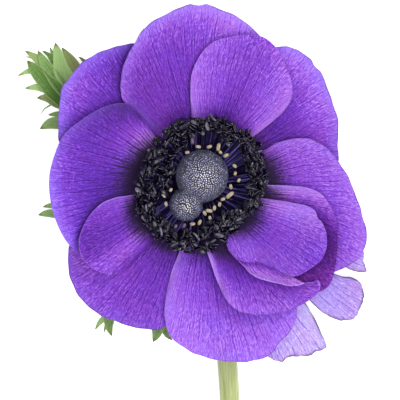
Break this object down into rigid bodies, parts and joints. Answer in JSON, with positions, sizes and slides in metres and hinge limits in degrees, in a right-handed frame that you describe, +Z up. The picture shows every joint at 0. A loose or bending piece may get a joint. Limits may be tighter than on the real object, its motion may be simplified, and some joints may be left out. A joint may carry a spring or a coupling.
{
  "type": "anemone flower",
  "caption": "Open violet anemone on a short cut stem, lying face up, with overlapping petals, a ring of dark stamens and a leafy ruff.",
  "frame": {"origin": "on the surface it lies on, under the middle of the object's box", "axes": "+Z up, the way the open flower faces; +Y from the cut end of the stem towards the flower; +X to the right seen from above with the stem below the flower"},
  "size_m": [0.0874, 0.1952, 0.0265],
  "materials": {
    "violet_petal": "satin",
    "lilac_petal": "satin",
    "leaf": "matte",
    "stem": "satin",
    "pistils": "matte",
    "stamens": "satin"
  },
  "bodies": {
    "root": {"stem": "stem", "petal_top": "violet_petal", "petal_right": "violet_petal", "petal_lower": "violet_petal", "petal_left": "violet_petal", "petal_middle_right": "violet_petal", "petal_middle_lower": "violet_petal", "petal_inner_upper_right": "violet_petal", "petal_inner_lower_left": "violet_petal", "petal_inner_lower_right": "violet_petal", "petal_outer_upper_left": "violet_petal", "petal_outer_upper_right": "violet_petal", "petal_outer_lower_left": "violet_petal", "petal_pale_lower": "lilac_petal", "petal_pale_right": "lilac_petal", "petal_pale_small": "lilac_petal", "bract_upper_left": "leaf", "bract_lower_left": "leaf", "bract_right": "leaf", "pistil_head": "pistils", "stamens": "stamens"}
  },
  "joints": []
}
